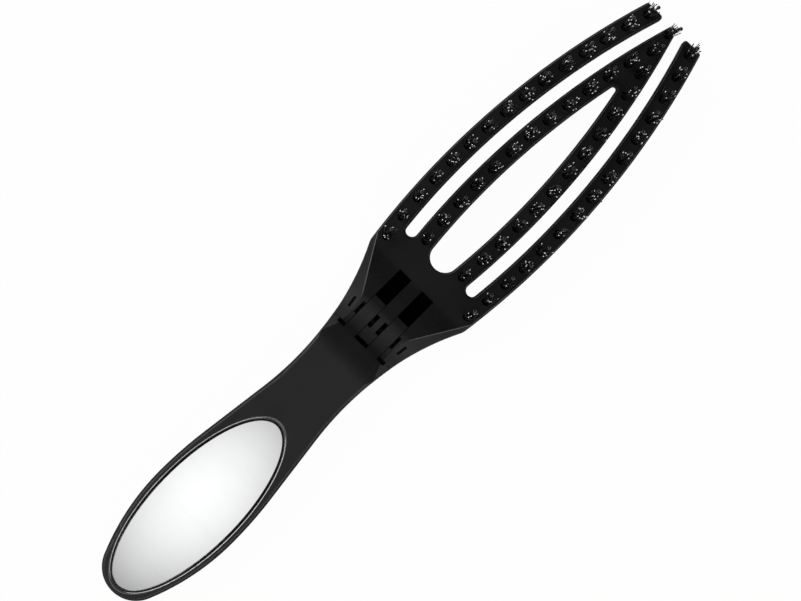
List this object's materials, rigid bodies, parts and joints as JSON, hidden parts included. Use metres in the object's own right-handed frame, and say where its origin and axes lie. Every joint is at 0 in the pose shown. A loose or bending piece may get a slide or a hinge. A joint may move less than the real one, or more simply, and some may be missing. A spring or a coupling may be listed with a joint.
{
  "type": "folding hair brush",
  "caption": "Folding vented hair brush: slender vented head with bristle tufts, hinged at the neck to a handle that holds an oval mirror.",
  "frame": {"origin": "middle of the open brush, on the plane that its back rests on", "axes": "+X along the brush from the handle to the tip of the head, +Y to its left, +Z out of the bristle and mirror side"},
  "size_m": [0.208, 0.0386, 0.0184],
  "materials": {
    "handle_plastic": "black moulded plastic, fine satin",
    "head_plastic": "black moulded plastic, fine satin",
    "mirror_glass": "silvered glass",
    "foam_tape": "black foam tape",
    "pin_steel": "blackened spring steel",
    "boar_bristle": "dark natural bristle",
    "nylon_bristle": "black nylon, ball tips",
    "anchor_wire": "drawn flat wire"
  },
  "bodies": {
    "handle": {"handle_front_frame": "handle_plastic", "handle_back_cover": "handle_plastic", "mirror": "mirror_glass", "mirror_tape": "foam_tape"},
    "head": {"head_frame": "head_plastic", "hinge_pin": "pin_steel", "boar_tufts_left_outer": "boar_bristle", "boar_tufts_left_inner": "boar_bristle", "boar_tufts_right_inner": "boar_bristle", "boar_tufts_right_outer": "boar_bristle", "boar_tufts_tip": "boar_bristle", "nylon_pins_left_outer": "nylon_bristle", "nylon_pins_left_inner": "nylon_bristle", "nylon_pins_right_inner": "nylon_bristle", "nylon_pins_right_outer": "nylon_bristle", "nylon_pins_tip": "nylon_bristle", "tuft_anchors_left_outer": "anchor_wire", "tuft_anchors_left_inner": "anchor_wire", "tuft_anchors_right_inner": "anchor_wire", "tuft_anchors_right_outer": "anchor_wire", "tuft_anchors_tip": "anchor_wire"}
  },
  "joints": [
    {"name": "head_fold", "type": "hinge", "parent": "handle", "child": "head", "pos_m": [-0.00568, 0, 0.0075], "axis": [0, -1, 0], "range_deg": [0, 145]}
  ]
}
